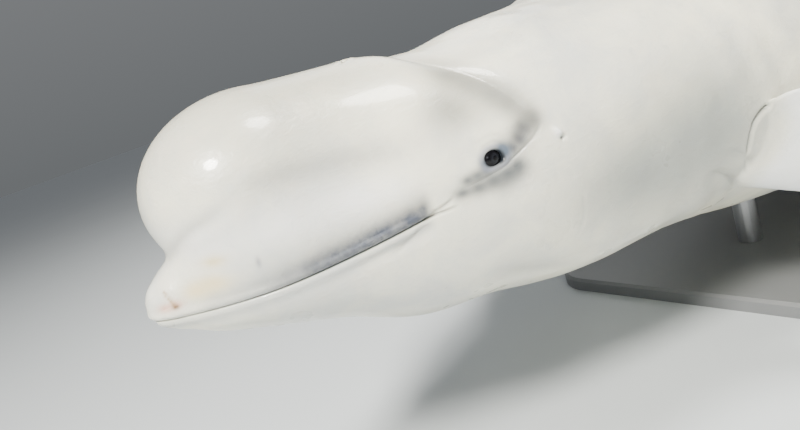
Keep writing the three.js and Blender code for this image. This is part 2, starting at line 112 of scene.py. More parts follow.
CAMERA_PLACE = (-122.2, -669.1, 239.9)  # millimetres in the bent body's own axes
CAMERA_AZIMUTH = math.radians(-33.49)
CAMERA_ELEVATION = math.radians(14.37)
CAMERA_ROLL = math.radians(-19.58)
FOCAL_PIXELS = 620.0
IMAGE_WIDTH = 800
SENSOR = 36.0


# Curves and fields

def smooth_step(start, end, x):
    t = np.clip((x - start) / (end - start), 0, 1)
    return t * t * (3 - 2 * t)


def curve_through(xs, ys, at):
    """A smooth curve through the points, the same as the solids use."""
    xs, ys = np.asarray(xs, float), np.asarray(ys, float)
    steps = np.diff(xs)
    slopes = np.diff(ys) / steps
    tangents = np.empty_like(ys)
    tangents[0], tangents[-1] = slopes[0], slopes[-1]
    tangents[1:-1] = (slopes[:-1] * steps[1:] + slopes[1:] * steps[:-1]) / (steps[:-1] + steps[1:])
    return hermite(xs, ys, tangents, at)


def hermite(xs, ys, tangents, at):
    x = np.clip(at, xs[0], xs[-1])
    i = np.clip(np.searchsorted(xs, x, side="right") - 1, 0, len(xs) - 2)
    step = xs[i + 1] - xs[i]
    t = (x - xs[i]) / step
    ends = (2 * t**3 - 3 * t**2 + 1) * ys[i] + (3 * t**2 - 2 * t**3) * ys[i + 1]
    return ends + step * ((t**3 - 2 * t**2 + t) * tangents[i] + (t**3 - t**2) * tangents[i + 1])


def trunk_measures(x):
    root = np.sqrt(np.maximum(x, 0))
    knots = np.sqrt(TRUNK[:, 0])
    return [curve_through(knots, TRUNK[:, k], root) for k in (1, 2, 3, 4)]


def bell(x, middle, width):
    """A smooth bump of height one about a middle."""
    return np.exp(-((x - middle) / width) ** 2)


def smooth_union(a, b, reach):
    share = np.clip(0.5 + 0.5 * (b - a) / reach, 0, 1)
    return b * (1 - share) + a * share - reach * share * (1 - share)


def body_field(x, y, z):
    """Below zero inside the smooth body, about the distance in millimetres near its surface."""
    half_width, top, bottom, widest = trunk_measures(x)
    w = np.maximum(half_width, 1e-3)
    h = np.maximum(np.where(z > widest, top - widest, widest - bottom), 1e-3)
    reach = (np.abs(y) / w) ** SECTION_POWER + (np.abs(z - widest) / h) ** SECTION_POWER
    trunk = (reach ** (1 / SECTION_POWER) - 1) * np.minimum(w, h)
    trunk = np.where(x < 0, np.maximum(trunk, 0) - x, trunk)
    m = MELON
    dx = (x - m["x"]) / np.where(x > m["x"], m["back"], m["front"])
    melon = np.sqrt(dx**2 + (y / m["half_width"]) ** 2 + ((z - m["z"]) / m["half_height"]) ** 2)
    melon = (melon - 1) * m["half_height"]
    b = BEAK
    dx = (x - b["x"]) / b["length"]
    beak = np.sqrt(dx**2 + (y / b["half_width"]) ** 2 + ((z - b["z"]) / b["half_height"]) ** 2)
    beak = (beak - 1) * b["half_height"]
    return smooth_union(beak, smooth_union(melon, trunk, m["blend"]), b["blend"])


def ray_out(origin, direction, far=560.0, halvings=21):
    """Where rays from inside the body leave it."""
    inside = np.zeros(direction.shape[:-1])
    outside = np.full(direction.shape[:-1], far)
    for _ in range(halvings):
        middle = (inside + outside) / 2
        p = origin + direction * middle[..., None]
        within = body_field(p[..., 0], p[..., 1], p[..., 2]) < 0
        inside = np.where(within, middle, inside)
        outside = np.where(within, outside, middle)
    return origin + direction * inside[..., None]


def skin_at(x, z, side):
    """The skin's point beside a place in the body's middle plane."""
    origin = np.array([x, 0.0, z])
    return ray_out(origin, np.array([0.0, float(side), 0.0]))


def mouth_level(x):
    """Height of the mouth line."""
    share = np.clip(x, 0, MOUTH["corner_x"]) / MOUTH["corner_x"]
    return MOUTH["front"] + (MOUTH["corner_z"] - MOUTH["front"]) * share ** MOUTH["rise"]


# Bending the spine

SPINE_STEP = 10.0
SPINE_X = np.arange(0, BODY_LENGTH + 301, SPINE_STEP)
AHEAD = 1 - smooth_step(*NECK_BEND, SPINE_X)
SPINE_PITCH = -HEAD_LIFT * AHEAD - TAIL_DROOP * smooth_step(*TAIL_BEND, SPINE_X)
SPINE_YAW = -HEAD_TURN * AHEAD
SPINE_BACK = np.stack([
    np.cos(SPINE_PITCH) * np.cos(SPINE_YAW),
    np.cos(SPINE_PITCH) * np.sin(SPINE_YAW),
    np.sin(SPINE_PITCH),
], 1)
SPINE_PLACE = np.zeros((len(SPINE_X), 3))
SPINE_PLACE[1:] = np.cumsum((SPINE_BACK[1:] + SPINE_BACK[:-1]) / 2 * SPINE_STEP, 0)
SPINE_PLACE += np.array([STRAIGHT_AT, 0, 0]) - SPINE_PLACE[int(STRAIGHT_AT / SPINE_STEP)]


def spine_frame(x):
    """Place, backward, sideways and upward directions of the spine at a distance x."""
    at = np.clip(x, 0, SPINE_X[-1] - 1e-6)
    place, back = [
        np.stack([np.interp(at, SPINE_X, rows[:, k]) for k in range(3)], -1)
        for rows in (SPINE_PLACE, SPINE_BACK)
    ]
    back /= np.linalg.norm(back, axis=-1, keepdims=True)
    place = place + back * np.minimum(x, 0)[..., None]
    yaw = np.interp(at, SPINE_X, SPINE_YAW)
    side = np.stack([-np.sin(yaw), np.cos(yaw), 0 * yaw], -1)
    return place, back, side, np.cross(back, side)


def bend(p):
    place, _, side, up = spine_frame(p[..., 0])
    return place + side * p[..., 1:2] + up * p[..., 2:3]


def unbend(p):
    """The straight body's point for a point of the bent body."""
    x = p[..., 0].copy()
    for _ in range(12):
        place, back, _, _ = spine_frame(x)
        x += ((p - place) * back).sum(-1)
    place, _, side, up = spine_frame(x)
    return np.stack([x, ((p - place) * side).sum(-1), ((p - place) * up).sum(-1)], -1)


# The base plate says where the bent body stands in the frame
base_low, base_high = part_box("stand_base")
LOWEST_SKIN = TRUNK[:, 3].min()
SHIFT = np.array([
    (base_low.x + base_high.x) / 2 / METRE - STAND_X,
    (base_low.y + base_high.y) / 2 / METRE,
    base_high.z / METRE - (LOWEST_SKIN - STAND_UNDER),
])


def to_frame(p):
    return (bend(p) + SHIFT) * METRE


def from_frame(p):
    return unbend(p / METRE - SHIFT)


# Meshes

def new_mesh_object(name, vertices, quads, triangles=()):
    """A smooth-shaded mesh object from arrays of vertices, quads and triangles."""
    quads = np.asarray(quads, np.int32).reshape(-1, 4)
    triangles = np.asarray(triangles, np.int32).reshape(-1, 3)
    mesh = bpy.data.meshes.new(name)
    mesh.vertices.add(len(vertices))
    mesh.vertices.foreach_set("co", np.asarray(vertices, np.float32).ravel())
    mesh.loops.add(quads.size + triangles.size)
    mesh.loops.foreach_set("vertex_index", np.concatenate([quads.ravel(), triangles.ravel()]))
    mesh.polygons.add(len(quads) + len(triangles))
    starts = np.concatenate([np.arange(len(quads)) * 4, quads.size + np.arange(len(triangles)) * 3])
    mesh.polygons.foreach_set("loop_start", starts.astype(np.int32))
    mesh.polygons.foreach_set("use_smooth", np.ones(len(starts), bool))
    mesh.update(calc_edges=True)
    mesh.validate()
    obj = bpy.data.objects.new(name, mesh)
    bpy.context.scene.collection.objects.link(obj)
    return obj


def loft_faces(rows, count):
    """Quads between closed rows, and the triangles that close both ends to two hub vertices."""
    i = np.arange(rows - 1)[:, None] * count
    j = np.arange(count)[None]
    a, b = i + j, i + (j + 1) % count
    quads = np.stack([a, a + count, b + count, b], -1).reshape(-1, 4)
    ring = np.arange(count)
    after = (ring + 1) % count
    last = (rows - 1) * count
    first_hub, last_hub = rows * count, rows * count + 1
    front = np.stack([np.full(count, first_hub), ring, after], -1)
    back = np.stack([np.full(count, last_hub), last + after, last + ring], -1)
    return quads, np.concatenate([front, back])


def loft_object(name, rows):
    """A closed loft through an array of rows, rows x points x 3, in the straight body's millimetres."""
    count = rows.shape[1]
    quads, triangles = loft_faces(len(rows), count)
    hubs = np.stack([rows[0].mean(0), rows[-1].mean(0)])
    points = np.concatenate([rows.reshape(-1, 3), hubs])
    return new_mesh_object(name, to_frame(points), quads, triangles)


def outward_facing(obj):
    """Turns the mesh inside out if its volume is negative."""
    mesh = obj.data
    mesh.calc_loop_triangles()
    co = np.empty(len(mesh.vertices) * 3)
    mesh.vertices.foreach_get("co", co)
    tri = np.empty(len(mesh.loop_triangles) * 3, np.int32)
    mesh.loop_triangles.foreach_get("vertices", tri)
    a, b, c = co.reshape(-1, 3)[tri.reshape(-1, 3)].transpose(1, 0, 2)
    if (a * np.cross(b, c)).sum() < 0:
        mesh.flip_normals()


def coordinates(obj):
    co = np.empty(len(obj.data.vertices) * 3)
    obj.data.vertices.foreach_get("co", co)
    return co.reshape(-1, 3)


def set_coordinates(obj, co):
    obj.data.vertices.foreach_set("co", np.ascontiguousarray(co, np.float32).ravel())
    obj.data.update()


# The trunk: rays from a centre in the head fan forward, then stations run back

HEAD_CENTRE = np.array([230.0, 0.0, 60.0])
BEAK_INSIDE_X = 60.0
# Level of the middle of the stations
AXIS_X = (230, 520, 1300, 2700, 3700)
AXIS_Z = (60, 35, 5, 20, 24)
# Distances between the stations
SPACING_X = (230, 325, 338, 385, 400, 560, 690, 800, 900, 1500, BODY_LENGTH)
SPACING = (2.0, 1.8, 0.9, 0.9, 2.0, 2.6, 2.3, 2.4, 4.5, 9.0, 11.0)
HALF_COLUMNS = 270
FAN_ROWS = 170
# Shares of the columns that lie below the mouth line, and below the level of the eye
COLUMN_KNOTS = np.array([0, 0.27, 0.62, 1])
COLUMN_SLOPES = np.radians([330.0, 80.0, 75.0, 240.0])
EYE_SPREAD = math.radians(26)


def side_vectors(angles, side):
    """Directions in the plane across the body, at angles above the horizontal, on one side."""
    return np.stack([0 * angles, side * np.cos(angles), np.sin(angles)], -1)


def column_angles(mouth_angle, evenness):
    """Angles from the chin to the crown, closer together from the mouth line up to the eye."""
    u = np.linspace(0, 1, HALF_COLUMNS + 1)
    quarter = math.pi / 2
    knots = np.array([-quarter, mouth_angle, mouth_angle + EYE_SPREAD, quarter])
    dense = hermite(COLUMN_KNOTS, knots, COLUMN_SLOPES, u)
    even = -quarter + math.pi * u
    return dense * (1 - evenness) + even * evenness


def around(angles):
    """Directions round the body from the left side's angles, chin to crown, mirrored on the right."""
    left = side_vectors(angles, -1)
    right = side_vectors(angles[::-1], 1)[1:-1]
    return np.concatenate([left, right])


def fan_rows():
    """The tip of the beak, and directions that fan out from its line, row by row, up to straight across."""
    tip = ray_out(np.array([BEAK_INSIDE_X, 0, MOUTH["front"]]), np.array([-1.0, 0, 0]))
    forward = (tip - HEAD_CENTRE) / np.linalg.norm(tip - HEAD_CENTRE)
    rows = []
    turns = math.pi / 2 * (np.arange(1, FAN_ROWS) / FAN_ROWS) ** 1.15
    # the angle at which each row crosses the mouth line
    low, high = np.full(len(turns), -1.2), np.full(len(turns), 1.2)
    for _ in range(16):
        middle = (low + high) / 2
        rays = forward * np.cos(turns)[:, None] + side_vectors(middle, -1) * np.sin(turns)[:, None]
        rays /= np.linalg.norm(rays, axis=-1, keepdims=True)
        hit = ray_out(HEAD_CENTRE, rays)
        above = hit[:, 2] > mouth_level(hit[:, 0])
        high, low = np.where(above, middle, high), np.where(above, low, middle)
    for turn, mouth_angle in zip(turns, (low + high) / 2):
        angles = column_angles(mouth_angle, 0)
        rays = forward * math.cos(turn) + around(angles) * math.sin(turn)
        rows.append(rays / np.linalg.norm(rays, axis=-1, keepdims=True))
    return tip, np.array(rows)


def station_places():
    """Distances of the stations, closest at the eye."""
    coarse = 1
    places = [HEAD_CENTRE[0]]
    while places[-1] < TRUNK[-1, 0] - 4:
        places.append(places[-1] + coarse * float(np.interp(places[-1], SPACING_X, SPACING)))
    places[-1] = TRUNK[-1, 0]
    return np.array(places)


def station_rows():
    """The middle of each station and the directions round it; its dense columns follow the mouth line and run
    on level behind the mouth's corner."""
    xs = station_places()
    origins = np.stack([xs, 0 * xs, curve_through(AXIS_X, AXIS_Z, xs)], -1)
    behind = np.maximum(xs - MOUTH["corner_x"], 0)
    level = mouth_level(xs) + 0.05 * behind
    sideways = np.stack([skin_at(x, z, -1) for x, z in zip(np.minimum(xs, 700), np.minimum(level, 44))])
    angles = np.arctan2(sideways[:, 2] - origins[:, 2], -sideways[:, 1])
    rows = []
    for x, mouth_angle in zip(xs, angles):
        evenness = float(smooth_step(430, 900, x))
        rows.append(around(column_angles(mouth_angle, evenness)))
    return origins, np.array(rows)


def trunk_object():
    tip, fan = fan_rows()
    origins, stations = station_rows()
    front = ray_out(HEAD_CENTRE, fan)
    back = ray_out(origins[:, None, :], stations)
    rows = np.concatenate([front, back])
    count = rows.shape[1]
    quads, triangles = loft_faces(len(rows), count)
    hubs = np.stack([tip, rows[-1].mean(0)])
    points = np.concatenate([rows.reshape(-1, 3), hubs])
    return new_mesh_object("skin", to_frame(points), quads, triangles)


# Fins

def fin_thickness(u):
    """Share of a fin's full thickness along its chord, from the round front to the thin back."""
    fullest = 0.32
    front = np.sqrt(np.maximum(1 - (1 - np.minimum(u, fullest) / fullest) ** 2, 0))
    t = np.clip((u - fullest) / (1 - fullest), 0, 1)
    back = 1 - 0.9 * t**1.2
    edge = np.sqrt(np.clip((1 - u) / 0.02, 0, 1))
    return np.where(u < fullest, front, back) * edge


def fin_loop(steps):
    """Chord shares and faces (1 or -1) once round a fin's section."""
    u = (1 - np.cos(np.pi * np.arange(steps + 1) / steps)) / 2
    chord = np.concatenate([u, u[-2:0:-1]])
    face = np.concatenate([np.ones(steps + 1), -np.ones(steps - 1)])
    return chord, face


FIN_STEPS = 170
FIN_LOOP = 116


def flipper_rows(side):
    mirror = np.array([1, side, 1])
    root = np.array([FLIPPER["x"], FLIPPER["y"], FLIPPER["z"]]) * mirror
    outward = np.array(FLIPPER_OUTWARD) * mirror
    outward = outward / np.linalg.norm(outward)
    trailing = np.array(FLIPPER_TRAILING) * mirror
    trailing = trailing - outward * (trailing @ outward)
    trailing /= np.linalg.norm(trailing)
    away = np.cross(outward, trailing) * -side
    chord, face = fin_loop(FIN_LOOP)
    rows = []
    inside = np.linspace(-FLIPPER["sunk"] / FLIPPER["span"], 0, 10)[:-1]
    outside = 1 - (1 - np.linspace(0, 1, FIN_STEPS)) ** 1.6
    for along in np.concatenate([inside, outside]):
        out = max(along, 0)
        lead = curve_through(*FLIPPER_LEAD, along)
        trail = curve_through(*FLIPPER_TRAIL, along)
        thick = FLIPPER["thickness"] / 2 * (1 - 0.8 * out**0.8)
        thick *= math.sqrt(min(1, (1.0005 - out) / 0.03))
        reach = lead + (trail - lead) * chord
        inward = FLIPPER["span"] * along - FLIPPER["rake"] * reach * (1 - out)
        rise = thick * face * fin_thickness(chord) + FLIPPER["curl"] * out**2.5
        rows.append(root + outward * inward[:, None] + trailing * reach[:, None] + away * rise[:, None])
    return np.array(rows)


def fluke_rows(side):
    chord, face = fin_loop(FIN_LOOP)
    rows = []
    for t in 1 - (1 - np.linspace(0, 1, FIN_STEPS)) ** 1.7:
        y = side * (FLUKE["root_y"] + (FLUKE["half_span"] - FLUKE["root_y"]) * t)
        lead = FLUKE["root_x"] + FLUKE["sweep"] * t**1.25
        trail = (BODY_LENGTH - FLUKE["notch"]) * (1 - t**3) + lead * t**3
        trail += FLUKE["bulge"] * math.sin(math.pi * t**0.62)
        trail = max(trail, lead + 8)
        thick = FLUKE["thickness"] / 2 * (1 - 0.84 * t**0.7) * math.sqrt(min(1, (1.0005 - t) / 0.02))
        x = lead + (trail - lead) * chord
        z = FLUKE["level"] - FLUKE["droop"] * t * t + thick * face * fin_thickness(chord)
        rows.append(np.stack([x, np.full_like(x, y), z], -1))
    return np.array(rows)


# Joining the fins to the trunk and rounding the joint

def join(body, other):
    """Joins another closed mesh to the body and removes it."""
    modifier = body.modifiers.new("join", "BOOLEAN")
    modifier.operation = "UNION"
    modifier.solver = "MANIFOLD"
    modifier.object = other
    bpy.context.view_layer.update()
    evaluated = body.evaluated_get(bpy.context.evaluated_depsgraph_get())
    mesh = bpy.data.meshes.new_from_object(evaluated)
    body.modifiers.clear()
    old = body.data
    body.data = mesh
    bpy.data.meshes.remove(old)
    bpy.data.objects.remove(other)


def edges_of(obj):
    edges = np.empty(len(obj.data.edges) * 2, np.int64)
    obj.data.edges.foreach_get("vertices", edges)
    return edges.reshape(-1, 2)


def round_joints(obj, start, end, reach, rounds):
    """Smooths the vertices near where a fin meets the trunk, on a stretch of the body."""
    co = coordinates(obj) / METRE
    straight = unbend(co - SHIFT)
    off_body = np.abs(body_field(*straight.T)) > 0.6
    edges = edges_of(obj)
    at_joint = edges[off_body[edges[:, 0]] != off_body[edges[:, 1]]]
    ring = np.unique(at_joint)
    tree = kdtree.KDTree(len(ring))
    for index, vertex in enumerate(ring):
        tree.insert(co[vertex], index)
    tree.balance()
    x = straight[:, 0]
    near_fins = (x > start) & (x < end)
    weight = np.zeros(len(co))
    for vertex in np.flatnonzero(near_fins):
        distance = tree.find(co[vertex])[2]
        weight[vertex] = max(0.0, 1 - distance / reach)
    weight = smooth_step(0, 1, weight)
    inner = edges[(weight[edges[:, 0]] > 0) | (weight[edges[:, 1]] > 0)]
    ends = np.concatenate([inner[:, 0], inner[:, 1]])
    others = np.concatenate([inner[:, 1], inner[:, 0]])
    degree = np.maximum(np.bincount(ends, minlength=len(co)), 1)
    for _ in range(rounds):
        total = np.stack([np.bincount(ends, co[others, k], len(co)) for k in range(3)], -1)
        co += (0.6 * weight)[:, None] * (total / degree[:, None] - co)
    set_coordinates(obj, co * METRE)


# Fine form: distances to lines on the skin, and what they do to it

def line_distance(points, line):
    """Distances from points to a smooth line through a few of its points, the side on which they lie (above
    zero over a line that runs backward), and their shares along it."""
    line = np.array(line, float)
    share = np.linspace(0, 1, len(line))
    fine = np.linspace(0, 1, 6 * (len(line) - 1) + 1)
    path = np.stack([curve_through(share, line[:, k], fine) for k in range(3)], -1)
    best = np.full(len(points), 1e9)
    side = np.ones(len(points))
    along = np.zeros(len(points))
    for k in range(len(path) - 1):
        span = path[k + 1] - path[k]
        away = points - path[k]
        t = np.clip((away @ span) / (span @ span), 0, 1)
        distance = np.linalg.norm(away - t[:, None] * span, axis=1)
        closer = distance < best
        best[closer] = distance[closer]
        side[closer] = np.sign(span[0] * away[:, 2] - span[2] * away[:, 0])[closer]
        along[closer] = (k + t[closer]) / (len(path) - 1)
    return best, side, along


def near_line(points, line, reach):
    """Indices of the points in the line's box, their distances, sides and shares along it."""
    line = np.array(line, float)
    inside = ((points > line.min(0) - reach) & (points < line.max(0) + reach)).all(1)
    index = np.flatnonzero(inside)
    return index, *line_distance(points[index], line)


def fade_ends(along, start, end):
    """Zero at the ends of a line, one in its middle; start and end are shares of its length."""
    first = smooth_step(0, start, along) if start > 0 else 1.0
    last = smooth_step(0, end, 1 - along) if end > 0 else 1.0
    return first * last


# Each fold: its points as (x, distance from the middle, z), its depth and half width, how much lower the skin
# lies on one side (the upper one where the line runs forward; below zero, the other one), and the shares of
# its length over which it fades at its ends
FOLDS = [
    # neck crease, from the middle of the nape to behind the eye
    ([(352, 0, 216), (360, 90, 198), (391, 139, 167), (408, 166, 144), (418, 184, 122), (426, 195, 102)],
     1.2, 7.0, 1.4, 0.0, 0.25),
    ([(352, 0, 216), (360, 90, 198), (384, 139, 167), (401, 166, 144), (411, 184, 120), (414, 194, 98)],
     3.6, 20.0, 0.0, 0.0, 0.3),
    # from behind the eye, under it, towards the cheek
    ([(430, 200, 100), (427, 200, 90), (417, 200, 80), (405, 198, 73), (391, 196, 66), (381, 193, 61),
      (373, 191, 56), (355, 186, 51), (338, 181, 47), (316, 173, 43), (300, 167, 38)],
     1.3, 2.3, 1.7, 0.15, 0.4),
    # the hollow between that fold and the brow
    ([(416, 196, 98), (402, 194, 86), (388, 192, 76)], 2.0, 10.0, 0.0, 0.3, 0.4),
    # the hollow below it
    ([(402, 197, 56), (376, 193, 36), (345, 183, 24)], 2.2, 13.0, 0.0, 0.3, 0.4),
    # the mouth's corner runs on in a fork
    ([(268, 156, 22), (282, 162, 25), (300, 169, 26), (312, 173, 27)], 3.6, 1.9, 0.4, 0.1, 0.6),
    ([(277, 160, 27), (295, 166, 32), (309, 171, 39)], 2.0, 2.2, 0.3, 0.2, 0.4),
    ([(219, 136, -12), (238, 146, -3), (252, 150, 6), (266, 156, 15), (286, 163, 17)],
     1.2, 3.6, 0.8, 0.35, 0.25),
    # fold under the melon, and the long hollow that carries on from it over the cheek
    ([(22, 0, 53), (26, 16, 53), (36, 53, 70), (47, 72, 80), (59, 85, 85), (79, 100, 97), (98, 108, 106)],
     1.8, 8.0, 0.6, 0.0, 0.45),
    ([(79, 100, 99), (120, 114, 108), (185, 124, 108), (262, 146, 104), (310, 164, 100)],
     2.8, 17.0, 0.0, 0.3, 0.4),
    # fine folds above the upper lid
    ([(345, 181, 78), (353, 182, 84), (366, 185, 86), (377, 189, 81)], 0.35, 1.8, 0.1, 0.3, 0.3),
    ([(342, 179, 84), (352, 180, 91), (368, 184, 93), (382, 189, 88)], 0.3, 2.2, 0.1, 0.3, 0.3),
    # thin wrinkles on the neck
    ([(456, 211, 8), (464, 206, -19), (465, 196, -46), (458, 184, -64)], 0.6, 2.0, 0.5, 0.3, 0.3),
    ([(492, 219, 34), (502, 217, 4), (506, 208, -30)], 0.4, 3.0, 0.3, 0.4, 0.4),
    # throat
    ([(330, 150, -60), (420, 150, -90), (520, 140, -118)], 2.0, 14.0, 0.0, 0.4, 0.4),
    # creases that gather at the flipper's root
    ([(640, 246, -40), (690, 244, -66), (735, 232, -98), (765, 228, -112)], 2.2, 5.0, 0.8, 0.5, 0.1),
    ([(660, 232, -84), (705, 230, -98), (745, 222, -114)], 1.8, 4.0, 0.6, 0.5, 0.1),
    ([(668, 258, -22), (710, 258, -44), (745, 250, -74)], 2.0, 6.0, 0.8, 0.5, 0.2),
    # the free edge of the flipper's hind corner, and the thin folds that run down from it
    ([(724, 260, -57), (722, 266, -40), (722, 272, -22), (729, 277, -7), (743, 281, 2), (760, 285, 7)],
     6.0, 2.6, -2.0, 0.25, 0.1),
    ([(768, 226, -116), (736, 247, -82), (724, 260, -57)], 1.4, 2.4, 0.4, 0.3, 0.1),
    ([(786, 221, -127), (749, 249, -84), (733, 262, -56)], 1.2, 2.4, 0.4, 0.3, 0.2),
]


def eye_offsets(points):
    """Place of points about the eye in its own tilted axes, and the share of the way to the lids' edge.
    The upper lid is arched and the lower one nearly straight."""
    cos, sin = math.cos(EYE["tilt"]), math.sin(EYE["tilt"])
    dx = points[:, 0] - EYE["x"]
    dz = points[:, 2] - EYE["z"]
    p = dx * cos + dz * sin
    q = -dx * sin + dz * cos
    upper = np.sqrt((p / EYE["half_length"]) ** 2 + (q / (EYE["half_height"] + EYE["upper_lid"])) ** 2)
    lower = (np.abs(p / EYE["half_length"]) ** 2.8 + np.abs(q / EYE["half_height"]) ** 2.8) ** (1 / 2.8)
    return p, q, np.where(q > 0, upper, lower)


def eye_relief(points):
    """How far the skin moves out at the eyelids and in at the opening."""
    p, q, share = eye_offsets(points)
    above = smooth_step(-3, 3, q)
    lids = (0.45 + 0.3 * above) * bell(share, 1.34, 0.30) + bell(share, 1.7, 1.1)
    groove = -0.3 * bell(share, 1.85, 0.2) * above * smooth_step(-6, 10, p)
    opening = -EYE["opening"] * (1 - smooth_step(0.78, 1.06, share))
    brow = 2.4 * bell(p, 0, 30) * bell(q, 26, 11)
    return lids + groove + opening + brow


def mouth_relief(points):
    """The mouth's groove with a rolled lip on either side, and the swelling of the upper lip over it."""
    x, z = points[:, 0], points[:, 2]
    d = z - mouth_level(x)
    fade = 1 - smooth_step(MOUTH["corner_x"] - 12, MOUTH["corner_x"] + 8, x)
    rear = smooth_step(30, 210, x)
    groove = -(2.2 + 2.3 * rear) * bell(d, 0, 0.9) - (0.7 + 0.7 * rear) * bell(d, 0, 3.2)
    upper = 1.9 * bell(d, 6, 4.5)
    lower = 0.9 * bell(d, -6, 4.5)
    recess = -2.2 * bell(d, -15, 7) * smooth_step(150, 230, x)
    middle = 0.5 * (mouth_level(x) + 90)
    swelling = 4.5 * bell(z, middle, 30) * smooth_step(30, 110, x) * (1 - smooth_step(250, 330, x))
    return fade * (groove + upper + lower + recess) + swelling


def blowhole_relief(points):
    """A crescent groove with a rim on either side."""
    x, y, z = points.T
    t = (y - BLOWHOLE["y"]) / BLOWHOLE["half_width"]
    d = x - (BLOWHOLE["x"] - BLOWHOLE["sweep"] * t * t)
    fade = np.where(z > 120, np.exp(-np.abs(t) ** 6), 0)
    groove = -BLOWHOLE["depth"] * bell(d, 0, 2.6)
    rims = 1.4 * bell(d, 8, 6) + 0.8 * bell(d, -8, 6)
    return fade * (groove + rims)


def ear_relief(points):
    """A small pit with a swelling above and before it."""
    x, z = points[:, 0], points[:, 2]
    pit = -EAR["pit"] * bell(x, EAR["x"], EAR["pit_radius"]) * bell(z, EAR["z"], EAR["pit_radius"])
    lean = (x - EAR["bump_x"]) + 0.5 * (z - EAR["bump_z"])
    bump = EAR["bump"] * bell(lean, 0, 4.2) * bell(z, EAR["bump_z"], 6.0)
    return pit + bump


def ridge_relief(points):
    """The low ridge along the back, notched unevenly as an old scarred one is."""
    x, y, z = points.T
    t = np.clip((x - RIDGE["from"]) / (RIDGE["to"] - RIDGE["from"]), 0, 1)
    notch = 1 - 0.12 * np.sin(x / 17) * np.sin(x / 41 + 1)
    height = RIDGE["height"] * np.sin(math.pi * t) ** 0.9 * notch
    return np.where(z > 0, height * np.exp(-np.abs(y / RIDGE["half_width"]) ** 1.5), 0)


# Marks on the skin: places and sizes, each (x, y, z, size along x, y, z)
MARKS = {
    # a small brown scuff on the upper lip, left of the middle, with a pink graze round it
    "scuff": [(14, -34, -0.5, 4.0, 4.0, 2.6)],
    "streak": [(13, -32.5, 3, 2.2, 2.6, 2.4), (12, -31, 6.5, 1.9, 2.4, 2.4), (10.6, -29, 10, 1.7, 2.3, 2.4),
               (9, -26.5, 14, 1.6, 2.2, 2.4), (8, -25, 17, 1.3, 2.0, 2.0)],
    "graze": [(4, -26, 0, 10, 10, 5), (14, -35, 2, 9, 10, 5)],
    # yellowish skin on the beak
    "yellow": [(53, -61, 16, 18, 26, 10), (36, -50, 12, 14, 22, 9), (60, -66, 40, 12, 24, 7)],
    # grey flecks
    "fleck": [(98, -94, 29, 2.4, 9, 6.5), (210, 128, 40, 3, 9, 4)],
}
# The same on both sides, (x, distance from the middle, z, sizes)
PAIRED_MARKS = {
    # shade in the hollow between the eye and the crease, and below the eye
    "hollow": [(419, 194, 100, 13, 26, 13), (407, 194, 93, 13, 26, 12),
               (397, 194, 81, 13, 26, 12), (384, 192, 74, 10, 24, 10)],
    # the shade under the fold
    "under": [(385, 195, 52, 14, 26, 11), (371, 192, 47, 17, 26, 12), (354, 186, 44, 16, 26, 11),
              (336, 180, 41, 14, 24, 9), (317, 174, 40, 12, 24, 7),
              (349, 184, 57, 9, 20, 7), (338, 180, 54, 10, 22, 7), (326, 176, 52, 9, 22, 6)],
    # painted shade on the rim of the head before the neck's crease, where it turns away from the light
    "hood_shade": [(363, 133, 168, 26, 40, 24), (376, 150, 154, 24, 40, 22), (392, 166, 139, 22, 36, 20),
             (406, 180, 123, 19, 34, 18), (417, 191, 106, 15, 30, 15), (338, 156, 133, 34, 60, 30)],
    # painted shade darkening the flank before the flipper
    "flank_shade": [(649, 259, 11, 120, 90, 90), (556, 232, -7, 110, 90, 60)],
    # painted highlight on the ear's swelling and painted shade in its pit
    "ear_bump_highlight": [(443.5, 206, 77, 5, 12, 6)],
    "pit": [(448, 208, 69, 2.4, 8, 2.4)],
    # the melon's warmer grey: partly its own tone, partly painted shade that keeps it darker than the lit
    # upper lip
    "melon_tone_and_shade": [(110, 0, 155, 130, 160, 40), (230, 0, 185, 110, 160, 52),
                   (91, 30, 197, 60, 70, 34), (152, 57, 200, 60, 70, 34), (220, 67, 196, 50, 70, 30)],
    # painted light on the swelling of the upper lip, paler where it faces the light
    "swelling": [(50, 70, 60, 42, 60, 26), (120, 110, 62, 55, 60, 24), (205, 135, 64, 55, 60, 20)],
}


def wave(points, length, seed):
    """A smooth seeded noise from waves of about one length, mostly between -1 and 1."""
    rng = np.random.default_rng(seed)
    total = np.zeros(len(points))
    count = 14
    for _ in range(count):
        direction = rng.normal(size=3)
        direction /= np.linalg.norm(direction)
        rate = 2 * math.pi / length * rng.uniform(0.7, 1.4)
        total += np.sin(points @ direction * rate + rng.uniform(0, 2 * math.pi))
    return total / math.sqrt(count)


def body_relief(points):
    """Soft unevenness of the flesh: dents, and the long folds of the neck and flanks."""
    x, y, z = points.T
    soft = 1.0 * wave(points, 150, 3) + 0.35 * wave(points, 55, 4)
    neck = smooth_step(440, 560, x) * (1 - smooth_step(820, 1000, x))
    rings = np.sin((x + 0.25 * np.abs(y) + 0.12 * z) / 11 + 1.2 * wave(points, 160, 5))
    return soft * smooth_step(200, 700, x) + 0.7 * neck * rings * smooth_step(-0.4, 1.2, wave(points, 240, 6))


def attribute(obj, name, values):
    layer = obj.data.attributes.new(name, "FLOAT", "POINT")
    layer.data.foreach_set("value", np.ascontiguousarray(values, np.float32))


